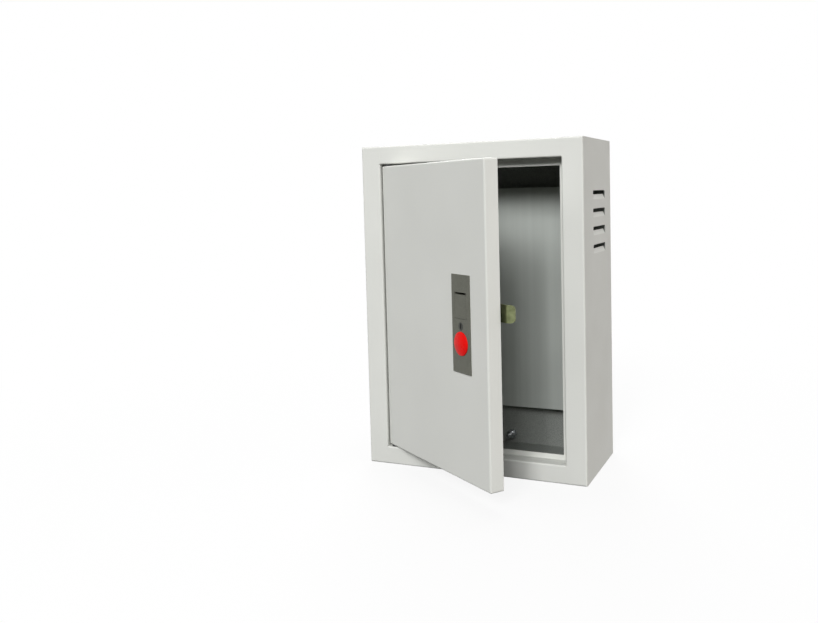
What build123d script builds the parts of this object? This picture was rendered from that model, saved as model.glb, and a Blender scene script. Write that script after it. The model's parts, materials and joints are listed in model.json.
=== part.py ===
from build123d import *
import os
from math import cos, radians, sin, tan

# Electrical cabinet of folded sheet steel with an inset door, a flush lock and a mounting plate.
# Millimetres, origin at the centre of the base, +Z up, front facing -Y.
# The door and all it carries are drawn closed, then turned about the hinge line to stand ajar.

# Cabinet body
WIDTH = 280.0
HEIGHT = 400.0
DEPTH = 140.0
SHEET = 1.2
BEND = 2.0
SIDE_FRAME = 25.0
END_FRAME = 22.0
SIDE_LIP = 7.2
TOP_LIP = 9.0
BOTTOM_LIP = 6.5
CUT = 1.0

# Louvres pressed inwards in both sides
LOUVRE_COUNT = 4
LOUVRE_PITCH = 21.3
LOUVRE_LENGTH = 62.0
LOUVRE_SLIT = 4.6
LOUVRE_FLAP = 6.0
LOUVRE_TILT = 24.0
LOUVRE_CORNER = 2.5
LOUVRE_SHEAR = 0.4
LOUVRE_FROM_TOP = 61.0
LOUVRE_FROM_FRONT = 76.0

# Wall fixing holes and knock-outs
WALL_HOLE = 8.5
WALL_HOLE_SIDE = 25.0
WALL_HOLE_END = 30.0
KNOCKOUT = 28.0
KNOCKOUT_GROOVE = 0.8
KNOCKOUT_CUT = 0.6
KNOCKOUT_PITCH = 70.0
KNOCKOUT_COUNT = 3
KNOCKOUT_FROM_BACK = 45.0

# Mounting plate, its studs, nuts and washers
PLATE_SIDE_GAP = 25.0
PLATE_END_GAP = 55.5
PLATE_SHEET = 1.5
PLATE_CORNER = 4.0
PLATE_STANDOFF = 20.0
STUD = 6.0
STUD_INSET = 14.0
STUD_PROUD = 4.0
STUD_PLAY = 0.05
PLATE_HOLE_PLAY = 0.4
NUT_FLATS = 10.0
NUT_HEIGHT = 5.0
WASHER = 12.0
WASHER_SHEET = 1.6

# Earth stud on the back wall
EARTH_X = 5.0
EARTH_Z = 14.0
EARTH_LENGTH = 22.0

# Door
DOOR_GAP = 2.5
DOOR_RIM = 17.0
LIP_CLEARANCE = 2.5
DOOR_AJAR = 35.5
HINGE_FROM_EDGE = 6.5
HINGE_FROM_FACE = 5.5

# Concealed pivot hinges
PIN = 4.5
PIN_PLAY = 0.05
PIN_HEAD = 8.0
PIN_HEAD_HEIGHT = 2.0
HINGE_PLATE_LENGTH = 22.0
HINGE_PLATE_WIDTH = 14.0
HINGE_PLATE_SHEET = 3.0
HINGE_PLATE_CORNER = 2.0
HINGE_PLATE_INSET = 1.0
SOCKET_WIDTH = 12.0
SOCKET_DEPTH = 9.0
SOCKET_HEIGHT = 7.0
PIN_END_ROOM = 0.5
HINGE_WASHER = 9.0
HINGE_WASHER_PLAY = 0.2

# Lock casting
LOCK_WIDTH = 35.0
LOCK_PROUD = 1.5
LOCK_FROM_EDGE = 48.5
LOCK_CENTRE_Z = 198.7
LOCK_HEAD = 19.4
LOCK_TAIL = 19.2
LOCK_ROUND = 0.6
CASTING_INSET = 8.0
CASTING_WALL = 2.0
CASTING_ROUND = 1.5
CUTOUT_PLAY = 0.25
BOSS = 14.0
BOSS_HEIGHT = 3.0
BOSS_GAP = 0.3

# Pull flap with its pin and tail
FLAP_WIDTH = 22.0
FLAP_LENGTH = 26.0
FLAP_SHEET = 3.2
FLAP_GAP = 0.3
FLAP_TOP_GAP = 2.4
FLAP_LIFT_GROOVE = 1.4
PIVOT_DROP = 2.5
KNUCKLE = 5.2
FLAP_PIN = 2.5
FLAP_PIN_PLAY = 0.05
FLAP_PIN_END = 0.4
TAIL = 3.0
TAIL_WIDTH = 7.5
TAIL_INSET = 0.5
TAIL_FOOT = 4.6
TAIL_FOOT_LENGTH = 8.0
TAIL_ROOM = 0.7
TAIL_PLAY = 1.4

# Spindle, latch cam and its screw
SPINDLE = 8.0
SPINDLE_PLAY = 0.05
SPINDLE_SQUARE = 5.6
SQUARE_PLAY = 0.1
CRANK_HUB = 9.0
CRANK_PIN = 3.0
CRANK_PIN_LENGTH = 5.5
CRANK_OUT = 5.5
CRANK_RISE = 7.5
CRANK_SHEET = 3.0
CRANK_ROOM = 0.5
CAM_WIDTH = 19.0
CAM_SHEET = 2.5
CAM_REACH = 61.0
CAM_TIP = 8.0
CAM_TIP_BEND = 32.0
CAM_BEND = 4.0
CAM_ROUND = 5.0
CAM_CLEARANCE = 0.8
CAM_SCREW = 4.8
CAM_SCREW_DEPTH = 8.0
CAM_SCREW_FLATS = 8.0
CAM_SCREW_HEAD = 3.5
CAM_WASHER = 12.0
CAM_WASHER_SHEET = 1.2

# Key cylinder
KEY = 9.0
KEY_PLAY = 0.05
KEY_SLOT = 6.5
KEY_SLOT_WIDTH = 1.8
KEY_SLOT_DEPTH = 7.0
KEY_FROM_FLAP = 3.8
LEVER = 7.0
LEVER_TIP = 5.0
LEVER_SHEET = 2.0
LEVER_PLAY = 0.3

# Push button, its spring and retaining washer
BUTTON = 26.4
BUTTON_GAP = 0.2
BUTTON_FROM_KEY = 1.2
BUTTON_PROUD = 2.6
BUTTON_EDGE = 0.8
BUTTON_ROUND = 0.7
BUTTON_WALL = 1.6
BUTTON_ROOF = 2.8
BUTTON_SKIRT = 8.0
BUTTON_TRAVEL = 3.0
BUTTON_WELL = 12.5
STEM = 6.4
STEM_PLAY = 0.1
STEM_TAIL = 1.5
RELIEF_WALL = 3.0
CLIP_RING = 10.0
CLIP_RING_SHEET = 0.8
SPRING = 11.0
SPRING_WIRE = 1.2
SPRING_TURNS = 3
SPRING_WIRE_SIDES = 6
SPRING_SEAT = 0.2

# Clips and screws that hold the lock behind the door
CLIP_WIDTH = 20.0
CLIP_SHEET = 2.0
CLIP_BEND = 3.0
CLIP_FOOT = 11.0
CLIP_LEG = 13.0
CLIP_HOLE_PLAY = 0.2
LOCK_SCREW = 4.0
LOCK_SCREW_PLAY = 0.05
LOCK_SCREW_GRIP = 7.0
LOCK_SCREW_HEAD = 7.5
LOCK_SCREW_HEAD_HEIGHT = 2.6
LOCK_SCREW_ROUND = 0.8

# Faces and edges worked out from the sizes above
front = -DEPTH / 2
back = DEPTH / 2
half_width = WIDTH / 2
inner_bend = BEND - SHEET
opening_half = half_width - SIDE_FRAME
opening_top = HEIGHT - END_FRAME
rebate = DOOR_RIM + LIP_CLEARANCE
rebate_y = front + rebate
lip_half = opening_half - SIDE_LIP
door_half = opening_half - DOOR_GAP
door_top = opening_top - DOOR_GAP
door_height = HEIGHT - 2 * (END_FRAME + DOOR_GAP)
hinge_x = HINGE_FROM_EDGE - door_half
hinge_y = front + HINGE_FROM_FACE
mid_height = Plane.XY.offset(HEIGHT / 2)


def facing(y):
    """Plane that faces the front at depth y, with X across and Z up."""
    return Plane.XZ.offset(-y)


def across(x):
    """Plane that faces +X at position x, with Y across and Z up."""
    return Plane.YZ.offset(x)


# Body: left side, back and right side folded from one sheet, with the frame, rebate and lip on both edges
plain_edge = [(-opening_half, front), (-half_width, front), (-half_width, back)]
rebated_edge = [(-lip_half, rebate_y), (-opening_half, rebate_y)] + plain_edge
louvre_rise = LOUVRE_FLAP * cos(radians(LOUVRE_TILT))
louvre_run = LOUVRE_FLAP * sin(radians(LOUVRE_TILT))
louvre_window = louvre_rise + LOUVRE_SLIT
louvre_y = front + LOUVRE_FROM_FRONT
louvre_tops = [HEIGHT - LOUVRE_FROM_TOP - LOUVRE_PITCH * row for row in range(LOUVRE_COUNT)]
louvre_feet = [top - louvre_window for top in louvre_tops]
flap_length = LOUVRE_LENGTH - 2 * LOUVRE_SHEAR


def mirrored(edge):
    """Outline points of the left edge followed by the same edge on the right."""
    return edge + [(-x, y) for x, y in reversed(edge)]


with BuildPart() as body_wrap:
    with BuildSketch(Plane.XY.offset(END_FRAME)):
        with BuildLine():
            outer_bends = [BEND] * (2 * len(plain_edge))
            FilletPolyline(*mirrored(rebated_edge), radius=[inner_bend] + outer_bends + [inner_bend])
            offset(amount=SHEET, side=Side.RIGHT)
        make_face()
    extrude(amount=HEIGHT - 2 * END_FRAME)
    with BuildSketch(Plane.XY, Plane.XY.offset(opening_top)):
        with BuildLine():
            FilletPolyline(*mirrored(plain_edge), radius=BEND)
            offset(amount=SHEET, side=Side.RIGHT)
        make_face()
    extrude(amount=END_FRAME)
    with BuildSketch(across(half_width)):
        for end, side in ((HEIGHT, Align.MAX), (0, Align.MIN)):
            with Locations((front, end)):
                Rectangle(BEND, BEND, align=(Align.MIN, side))
        with Locations((front + BEND, HEIGHT - BEND), (front + BEND, BEND)):
            Circle(BEND, mode=Mode.SUBTRACT)
    extrude(amount=-WIDTH, mode=Mode.SUBTRACT)
    with BuildSketch(across(half_width)):
        with Locations(*[(louvre_y, foot) for foot in louvre_feet]):
            RectangleRounded(LOUVRE_LENGTH, louvre_window, LOUVRE_CORNER, align=(Align.CENTER, Align.MIN))
            Rectangle(LOUVRE_LENGTH, LOUVRE_CORNER, align=(Align.CENTER, Align.MIN))
    extrude(amount=-WIDTH, mode=Mode.SUBTRACT)
    with BuildSketch(facing(louvre_y + flap_length / 2)):
        for foot in louvre_feet:
            with BuildLine():
                tip = (half_width - louvre_run, foot + louvre_rise)
                thickness = (SHEET * cos(radians(LOUVRE_TILT)), SHEET * sin(radians(LOUVRE_TILT)))
                Polyline(
                    (half_width, foot),
                    tip,
                    (tip[0] - thickness[0], tip[1] - thickness[1]),
                    (half_width - SHEET, foot - SHEET * tan(radians(LOUVRE_TILT) / 2)),
                    close=True,
                )
            make_face()
        mirror(about=Plane.YZ)
    extrude(amount=flap_length)
    with BuildSketch(facing(back)):
        with Locations((0, HEIGHT / 2)):
            with GridLocations(WIDTH - 2 * WALL_HOLE_SIDE, HEIGHT - 2 * WALL_HOLE_END, 2, 2):
                Circle(WALL_HOLE / 2)
    extrude(amount=SHEET + CUT, mode=Mode.SUBTRACT)

# Top and bottom: folded caps welded between the sides, with the frame, rebate and lip on the front edge
cap_half = half_width - SHEET
knockout_row = [KNOCKOUT_PITCH * (i - (KNOCKOUT_COUNT - 1) / 2) for i in range(KNOCKOUT_COUNT)]


def folded_cap(lip):
    """Cap for the top, with a lip of that height below its rebate."""
    with BuildPart() as cap:
        with BuildSketch(Plane.XY.offset(HEIGHT - SHEET)):
            with BuildLine():
                half_plan = [
                    (opening_half, front + BEND),
                    (opening_half, front + SHEET),
                    (cap_half, front + SHEET),
                    (cap_half, back - SHEET),
                ]
                Polyline(*half_plan, *[(-x, y) for x, y in reversed(half_plan)], close=True)
            make_face()
            sides = vertices().group_by(Axis.X)
            fillet(sides[0] + sides[-1], radius=inner_bend)
        extrude(amount=SHEET)
        with BuildSketch(across(-opening_half)):
            with BuildLine():
                FilletPolyline(
                    (rebate_y, HEIGHT),
                    (front, HEIGHT),
                    (front, opening_top),
                    (rebate_y, opening_top),
                    (rebate_y, opening_top - lip),
                    radius=[BEND, BEND, inner_bend],
                )
                offset(amount=SHEET, side=Side.LEFT)
            make_face()
        extrude(amount=2 * opening_half)
        with BuildSketch(facing(rebate_y + SHEET + CUT)):
            with Locations((opening_half, opening_top), (-lip_half, opening_top)):
                Rectangle(SIDE_LIP, lip + CUT, align=(Align.MAX, Align.MAX))
        extrude(amount=SHEET + CUT + BEND, mode=Mode.SUBTRACT)
        with BuildSketch(Plane.XY.offset(opening_top - CUT)):
            with Locations((hinge_x, hinge_y)):
                Circle(PIN / 2 + PIN_PLAY)
        extrude(amount=SHEET + 2 * CUT, mode=Mode.SUBTRACT)
        with BuildSketch(Plane.XY.offset(HEIGHT - KNOCKOUT_CUT)):
            with Locations(*[(x, back - KNOCKOUT_FROM_BACK) for x in knockout_row]):
                Circle(KNOCKOUT / 2)
                Circle(KNOCKOUT / 2 - KNOCKOUT_GROOVE, mode=Mode.SUBTRACT)
        extrude(amount=KNOCKOUT_CUT, mode=Mode.SUBTRACT)
    return cap


top_cap = folded_cap(TOP_LIP)
floor_cap = folded_cap(BOTTOM_LIP)

with BuildPart() as bottom_cap:
    mirror(floor_cap.part, about=mid_height)

# Mounting plate on four welded studs, each with a nut behind the plate and a washer and nut in front
plate_width = WIDTH - 2 * PLATE_SIDE_GAP
plate_height = HEIGHT - 2 * PLATE_END_GAP
plate_y = back - PLATE_STANDOFF
back_face = back - SHEET
stud_span = (plate_width - 2 * STUD_INSET, plate_height - 2 * STUD_INSET)
stud_places = GridLocations(*stud_span, 2, 2).local_locations
stud_tip = plate_y - WASHER_SHEET - NUT_HEIGHT - STUD_PROUD
plate_plane = Plane.XZ.shift_origin((0, 0, HEIGHT / 2))


def plate_facing(y):
    """Plane that faces the front at depth y, centred on the mounting plate."""
    return plate_plane.offset(-y)


with BuildPart() as mounting_plate:
    with BuildSketch(plate_facing(plate_y)):
        RectangleRounded(plate_width, plate_height, PLATE_CORNER)
        with Locations(stud_places):
            Circle(STUD / 2 + PLATE_HOLE_PLAY, mode=Mode.SUBTRACT)
    extrude(amount=-PLATE_SHEET)

with BuildPart() as plate_studs:
    with BuildSketch(plate_facing(back_face)):
        with Locations(stud_places):
            Circle(STUD / 2)
    extrude(amount=back_face - stud_tip)

with BuildPart() as plate_rear_nuts:
    with BuildSketch(plate_facing(plate_y + PLATE_SHEET + NUT_HEIGHT)):
        with Locations(stud_places):
            RegularPolygon(NUT_FLATS / 2, 6, major_radius=False)
            Circle(STUD / 2 + STUD_PLAY, mode=Mode.SUBTRACT)
    extrude(amount=NUT_HEIGHT)

with BuildPart() as plate_washers:
    with BuildSketch(plate_facing(plate_y)):
        with Locations(stud_places):
            Circle(WASHER / 2)
            Circle(STUD / 2 + PLATE_HOLE_PLAY, mode=Mode.SUBTRACT)
    extrude(amount=WASHER_SHEET)

with BuildPart() as plate_front_nuts:
    with BuildSketch(plate_facing(plate_y - WASHER_SHEET)):
        with Locations(stud_places):
            RegularPolygon(NUT_FLATS / 2, 6, major_radius=False)
            Circle(STUD / 2 + STUD_PLAY, mode=Mode.SUBTRACT)
    extrude(amount=NUT_HEIGHT)

# Earth stud with a locking nut at its root, a washer and a terminal nut
with BuildPart() as earth_stud:
    with BuildSketch(facing(back_face)):
        with Locations((EARTH_X, EARTH_Z)):
            Circle(STUD / 2)
    extrude(amount=EARTH_LENGTH)

with BuildPart() as earth_nuts:
    with BuildSketch(facing(back_face), facing(back_face - NUT_HEIGHT - WASHER_SHEET)):
        with Locations((EARTH_X, EARTH_Z)):
            RegularPolygon(NUT_FLATS / 2, 6, major_radius=False)
            Circle(STUD / 2 + STUD_PLAY, mode=Mode.SUBTRACT)
    extrude(amount=NUT_HEIGHT)

with BuildPart() as earth_washer:
    with BuildSketch(facing(back_face - NUT_HEIGHT)):
        with Locations((EARTH_X, EARTH_Z)):
            Circle(WASHER / 2)
            Circle(STUD / 2 + PLATE_HOLE_PLAY, mode=Mode.SUBTRACT)
    extrude(amount=WASHER_SHEET)

# Door: a pan pressed from one sheet, with the lock's cut-out and the pin holes in its rim
lock_x = door_half - LOCK_FROM_EDGE
window_height = FLAP_TOP_GAP + FLAP_LENGTH + FLAP_GAP
lock_length = LOCK_HEAD + window_height + KEY_FROM_FLAP + KEY + BUTTON_FROM_KEY + BUTTON + LOCK_TAIL
casting_width = BUTTON + 2 * (BUTTON_GAP + CASTING_WALL)
casting_length = lock_length - 2 * CASTING_INSET

with BuildPart() as door_panel:
    with BuildSketch(facing(front)):
        with Locations((0, HEIGHT / 2)):
            Rectangle(2 * door_half, door_height)
    extrude(amount=-DOOR_RIM)
    fillet(door_panel.edges().filter_by(Axis.Y), radius=BEND)
    fillet(door_panel.faces().sort_by(Axis.Y)[0].edges(), radius=BEND)
    offset(amount=-SHEET, openings=door_panel.faces().sort_by(Axis.Y)[-1])
    with BuildSketch(facing(front - CUT)):
        with Locations((lock_x, LOCK_CENTRE_Z)):
            Rectangle(casting_width + 2 * CUTOUT_PLAY, casting_length + 2 * CUTOUT_PLAY)
    extrude(amount=-(SHEET + 2 * CUT), mode=Mode.SUBTRACT)
    with BuildSketch():
        with Locations((hinge_x, hinge_y)):
            Circle(PIN / 2 + PIN_PLAY)
    extrude(amount=HEIGHT, mode=Mode.SUBTRACT)

# Hinges: a pin through a doubler plate in the frame, a washer in the gap and a socket in the door's corner
rim_inside = door_top - SHEET
hinge_plate_z = opening_top + SHEET
pin_bottom = rim_inside - SOCKET_HEIGHT + PIN_END_ROOM

with BuildPart() as hinge_plate_upper:
    with BuildSketch(Plane.XY.offset(hinge_plate_z)):
        with Locations((-opening_half + HINGE_PLATE_INSET, front + BEND)):
            RectangleRounded(
                HINGE_PLATE_LENGTH, HINGE_PLATE_WIDTH, HINGE_PLATE_CORNER, align=(Align.MIN, Align.MIN)
            )
        with Locations((hinge_x, hinge_y)):
            Circle(PIN / 2 + PIN_PLAY, mode=Mode.SUBTRACT)
    extrude(amount=HINGE_PLATE_SHEET)

with BuildPart() as hinge_pin_upper:
    with BuildSketch(Plane.XY.offset(pin_bottom)):
        with Locations((hinge_x, hinge_y)):
            Circle(PIN / 2)
    extrude(amount=hinge_plate_z + HINGE_PLATE_SHEET - pin_bottom)
    with BuildSketch(Plane.XY.offset(hinge_plate_z + HINGE_PLATE_SHEET)):
        with Locations((hinge_x, hinge_y)):
            Circle(PIN_HEAD / 2)
    extrude(amount=PIN_HEAD_HEIGHT)

with BuildPart() as hinge_washer_upper:
    with BuildSketch(Plane.XY.offset(door_top + HINGE_WASHER_PLAY / 2)):
        with Locations((hinge_x, hinge_y)):
            Circle(HINGE_WASHER / 2)
            Circle(PIN / 2 + PIN_PLAY, mode=Mode.SUBTRACT)
    extrude(amount=DOOR_GAP - HINGE_WASHER_PLAY)

with BuildPart() as hinge_socket_upper:
    with BuildSketch(Plane.XY.offset(rim_inside - SOCKET_HEIGHT)):
        with Locations((BEND - door_half, front + BEND)):
            Rectangle(SOCKET_WIDTH, SOCKET_DEPTH, align=(Align.MIN, Align.MIN))
        with Locations((hinge_x, hinge_y)):
            Circle(PIN / 2 + PIN_PLAY, mode=Mode.SUBTRACT)
    extrude(amount=SOCKET_HEIGHT)

with BuildPart() as hinge_plate_lower:
    mirror(hinge_plate_upper.part, about=mid_height)

with BuildPart() as hinge_pin_lower:
    mirror(hinge_pin_upper.part, about=mid_height)

with BuildPart() as hinge_washer_lower:
    mirror(hinge_washer_upper.part, about=mid_height)

with BuildPart() as hinge_socket_lower:
    mirror(hinge_socket_upper.part, about=mid_height)

# Lock: depths count from the front of its plate, heights from the middle of its plate
lock_y = front - LOCK_PROUD
lock_face = facing(lock_y).shift_origin((lock_x, lock_y, LOCK_CENTRE_Z))
cam_depth = LOCK_PROUD + rebate + SHEET + CAM_CLEARANCE
casting_back = cam_depth - BOSS_HEIGHT
pocket_back = casting_back - CASTING_WALL
window_top = lock_length / 2 - LOCK_HEAD
window_bottom = window_top - window_height
flap_top = window_top - FLAP_TOP_GAP
pivot_up = flap_top - PIVOT_DROP
spindle_up = pivot_up - TAIL_FOOT - TAIL_PLAY - CRANK_PIN / 2 - CRANK_RISE
key_up = window_bottom - KEY_FROM_FLAP - KEY / 2
button_up = key_up - KEY / 2 - BUTTON_FROM_KEY - BUTTON / 2
relief_front = BUTTON_WELL + CASTING_WALL
relief_bore = BUTTON - 2 * RELIEF_WALL
pivot_y = lock_y + FLAP_SHEET
pivot_z = LOCK_CENTRE_Z + pivot_up
casting_top = LOCK_CENTRE_Z + casting_length / 2
skin_y = front + SHEET
screw_y = skin_y + (CLIP_LEG + CLIP_BEND) / 2


def lock_depth(depth):
    """Plane of the lock at a depth behind the front of its plate."""
    return lock_face.offset(-depth)


with BuildPart() as lock_casting:
    with BuildSketch(lock_depth(0)):
        Rectangle(LOCK_WIDTH, lock_length)
    extrude(amount=-LOCK_PROUD)
    fillet(lock_casting.faces().sort_by(Axis.Y)[0].edges(), radius=LOCK_ROUND)
    with BuildSketch(lock_depth(LOCK_PROUD)):
        Rectangle(casting_width, casting_length)
    extrude(amount=LOCK_PROUD - casting_back)
    fillet(lock_casting.faces().sort_by(Axis.Y)[-1].edges(), radius=CASTING_ROUND)
    with BuildSketch(lock_depth(casting_back)):
        with Locations((0, spindle_up)):
            Circle(BOSS / 2)
    extrude(amount=BOSS_GAP - BOSS_HEIGHT)
    with BuildSketch(lock_depth(0)):
        with Locations((0, window_bottom)):
            Rectangle(FLAP_WIDTH + 2 * FLAP_GAP, window_height, align=(Align.CENTER, Align.MIN))
    extrude(amount=-pocket_back, mode=Mode.SUBTRACT)
    with BuildSketch(lock_depth(0)):
        with Locations((0, button_up)):
            Circle(BUTTON / 2 + BUTTON_GAP)
    extrude(amount=-BUTTON_WELL, mode=Mode.SUBTRACT)
    with BuildSketch(lock_depth(casting_back)):
        with Locations((0, button_up)):
            Circle(relief_bore / 2)
    extrude(amount=casting_back - relief_front, mode=Mode.SUBTRACT)
    with BuildSketch(lock_depth(0)):
        with Locations((0, button_up)):
            Circle(STEM / 2 + STEM_PLAY)
        with Locations((0, key_up)):
            Circle(KEY / 2 + KEY_PLAY)
        with Locations((0, spindle_up)):
            Circle(SPINDLE / 2 + SPINDLE_PLAY)
    extrude(amount=-cam_depth, mode=Mode.SUBTRACT)
    with BuildSketch(across(lock_x - LOCK_WIDTH / 2)):
        with Locations((pivot_y, pivot_z)):
            Circle(FLAP_PIN / 2 + FLAP_PIN_PLAY)
    extrude(amount=LOCK_WIDTH, mode=Mode.SUBTRACT)
    with BuildSketch(Plane.XY.offset(casting_top)):
        with Locations((lock_x, screw_y)):
            Circle(LOCK_SCREW / 2 + LOCK_SCREW_PLAY)
    screw_hole = extrude(amount=-LOCK_SCREW_GRIP, mode=Mode.PRIVATE)
    add(screw_hole, mode=Mode.SUBTRACT)
    mirror(screw_hole, about=Plane.XY.offset(LOCK_CENTRE_Z), mode=Mode.SUBTRACT)

# Flap that is pulled out at its lower edge, with a tail that pushes the spindle's crank down
tail_end = lock_y + pocket_back - TAIL_ROOM
foot_start = tail_end - TAIL_FOOT_LENGTH

with BuildPart() as lock_flap:
    with BuildSketch(lock_depth(0)):
        with Locations((0, flap_top)):
            Rectangle(FLAP_WIDTH, FLAP_LENGTH, align=(Align.CENTER, Align.MAX))
    extrude(amount=-FLAP_SHEET)
    chamfer(lock_flap.faces().sort_by(Axis.Y)[-1].edges().sort_by(Axis.Z)[0], FLAP_LIFT_GROOVE)
    with BuildSketch(across(lock_x - FLAP_WIDTH / 2)):
        with Locations((pivot_y, pivot_z)):
            Circle(KNUCKLE / 2)
    extrude(amount=FLAP_WIDTH)
    with BuildSketch(across(lock_x - FLAP_WIDTH / 2 + TAIL_INSET)):
        with BuildLine():
            Polyline(
                (pivot_y, pivot_z + TAIL / 2),
                (tail_end, pivot_z + TAIL / 2),
                (tail_end, pivot_z - TAIL_FOOT),
                (foot_start, pivot_z - TAIL_FOOT),
                (foot_start, pivot_z - TAIL / 2),
                (pivot_y, pivot_z - TAIL / 2),
                close=True,
            )
        make_face()
    extrude(amount=TAIL_WIDTH)
    with BuildSketch(across(lock_x - FLAP_WIDTH / 2)):
        with Locations((pivot_y, pivot_z)):
            Circle(FLAP_PIN / 2 + FLAP_PIN_PLAY)
    extrude(amount=FLAP_WIDTH, mode=Mode.SUBTRACT)

with BuildPart() as flap_pin:
    with BuildSketch(across(lock_x - casting_width / 2 + FLAP_PIN_END)):
        with Locations((pivot_y, pivot_z)):
            Circle(FLAP_PIN / 2)
    extrude(amount=casting_width - 2 * FLAP_PIN_END)

# Spindle with its crank inside the casting and a square end for the cam
crank_front = pocket_back - CRANK_ROOM - CRANK_SHEET
cam_back = cam_depth + CAM_SHEET

with BuildPart() as cam_spindle:
    with BuildSketch(lock_depth(crank_front)):
        with Locations((0, spindle_up)):
            Circle(CRANK_HUB / 2)
        with Locations((-CRANK_OUT, spindle_up + CRANK_RISE)):
            Circle(CRANK_PIN / 2)
        make_hull()
    extrude(amount=-CRANK_SHEET)
    with BuildSketch(lock_depth(crank_front)):
        with Locations((-CRANK_OUT, spindle_up + CRANK_RISE)):
            Circle(CRANK_PIN / 2)
    extrude(amount=CRANK_PIN_LENGTH)
    with BuildSketch(lock_depth(crank_front + CRANK_SHEET)):
        with Locations((0, spindle_up)):
            Circle(SPINDLE / 2)
    extrude(amount=crank_front + CRANK_SHEET - cam_depth)
    with BuildSketch(lock_depth(cam_depth)):
        with Locations((0, spindle_up)):
            Rectangle(SPINDLE_SQUARE, SPINDLE_SQUARE)
    extrude(amount=-CAM_SHEET)
    with BuildSketch(lock_depth(cam_back)):
        with Locations((0, spindle_up)):
            Circle(CAM_SCREW / 2)
    extrude(amount=CAM_SCREW_DEPTH, mode=Mode.SUBTRACT)

# Latch cam: a strip with a bent tip, which turns behind the lip of the frame
cam_y = lock_y + cam_depth
spindle_z = LOCK_CENTRE_Z + spindle_up
tip_start = lock_x + CAM_REACH - CAM_TIP
tip_drop = CAM_TIP * tan(radians(CAM_TIP_BEND))

with BuildPart() as latch_cam:
    with BuildSketch(Plane.XY.offset(spindle_z - CAM_WIDTH / 2)):
        with BuildLine():
            FilletPolyline(
                (lock_x, cam_y), (tip_start, cam_y), (tip_start + CAM_TIP, cam_y + tip_drop), radius=CAM_BEND
            )
            offset(amount=CAM_SHEET, side=Side.LEFT)
        make_face()
    extrude(amount=CAM_WIDTH)
    tip_edges = latch_cam.faces().sort_by(Axis.X)[-1].edges().sort_by(SortBy.LENGTH)[:2]
    fillet(tip_edges, radius=CAM_ROUND)
    with BuildSketch(lock_depth(cam_depth)):
        with Locations((0, spindle_up)):
            Circle(CAM_WIDTH / 2)
    extrude(amount=-CAM_SHEET)
    with BuildSketch(lock_depth(cam_depth)):
        with Locations((0, spindle_up)):
            Rectangle(SPINDLE_SQUARE + 2 * SQUARE_PLAY, SPINDLE_SQUARE + 2 * SQUARE_PLAY)
    extrude(amount=-CAM_SHEET, mode=Mode.SUBTRACT)

with BuildPart() as cam_washer:
    with BuildSketch(lock_depth(cam_back)):
        with Locations((0, spindle_up)):
            Circle(CAM_WASHER / 2)
            Circle(CAM_SCREW / 2 + STUD_PLAY, mode=Mode.SUBTRACT)
    extrude(amount=-CAM_WASHER_SHEET)

with BuildPart() as cam_screw:
    with BuildSketch(lock_depth(cam_back + CAM_WASHER_SHEET)):
        with Locations((0, spindle_up)):
            RegularPolygon(CAM_SCREW_FLATS / 2, 6, major_radius=False)
    extrude(amount=-CAM_SCREW_HEAD)
    with BuildSketch(lock_depth(cam_back + CAM_WASHER_SHEET)):
        with Locations((0, spindle_up)):
            Circle(CAM_SCREW / 2 - STUD_PLAY)
    extrude(amount=CAM_WASHER_SHEET + CAM_SCREW_DEPTH - CUT)

# Key cylinder with its slot in front and a lever behind
with BuildPart() as key_cylinder:
    with BuildSketch(lock_depth(0)):
        with Locations((0, key_up)):
            Circle(KEY / 2)
    extrude(amount=-(casting_back + LEVER_PLAY))
    with BuildSketch(lock_depth(casting_back + LEVER_PLAY)):
        with Locations((0, key_up)):
            Circle(KEY / 2)
        with Locations((LEVER, key_up)):
            Circle(LEVER_TIP / 2)
        make_hull()
    extrude(amount=-LEVER_SHEET)
    with BuildSketch(lock_depth(0)):
        with Locations((0, key_up)):
            SlotOverall(KEY_SLOT, KEY_SLOT_WIDTH, rotation=90)
    extrude(amount=-KEY_SLOT_DEPTH, mode=Mode.SUBTRACT)

# Push button: a domed cap on a stem, held by a washer pressed on behind the well
button_z = LOCK_CENTRE_Z + button_up
button_rim = button_z + BUTTON / 2
stem_top = button_z + STEM / 2
roof_y = lock_y - BUTTON_PROUD + BUTTON_ROOF
stem_end = lock_y + relief_front + CLIP_RING_SHEET + STEM_TAIL
button_axis = Axis((lock_x, 0, button_z), (0, 1, 0))

with BuildPart() as push_button:
    with BuildSketch(across(lock_x)):
        with BuildLine():
            dome = TangentArc(
                (lock_y - BUTTON_PROUD, button_z), (lock_y - BUTTON_EDGE, button_rim), tangent=(0, 1)
            )
            Polyline(
                dome @ 1,
                (lock_y + BUTTON_SKIRT, button_rim),
                (lock_y + BUTTON_SKIRT, button_rim - BUTTON_WALL),
                (roof_y, button_rim - BUTTON_WALL),
                (roof_y, stem_top),
                (stem_end, stem_top),
                (stem_end, button_z),
                dome @ 0,
            )
        make_face()
        fillet(vertices().group_by(Axis.Y)[-1].sort_by(Axis.X)[0], radius=BUTTON_ROUND)
    revolve(axis=button_axis)

with BuildPart() as button_clip:
    with BuildSketch(lock_depth(relief_front)):
        with Locations((0, button_up)):
            Circle(CLIP_RING / 2)
            Circle(STEM / 2 + STUD_PLAY, mode=Mode.SUBTRACT)
    extrude(amount=-CLIP_RING_SHEET)

# Coil spring at the height it has with the button pressed home, standing on the floor of the well
spring_height = BUTTON_WELL - BUTTON_ROOF + BUTTON_PROUD - BUTTON_TRAVEL - 2 * SPRING_SEAT - SPRING_WIRE
spring_base = (lock_x, lock_y + BUTTON_WELL - SPRING_SEAT - SPRING_WIRE / 2, button_z)

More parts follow.
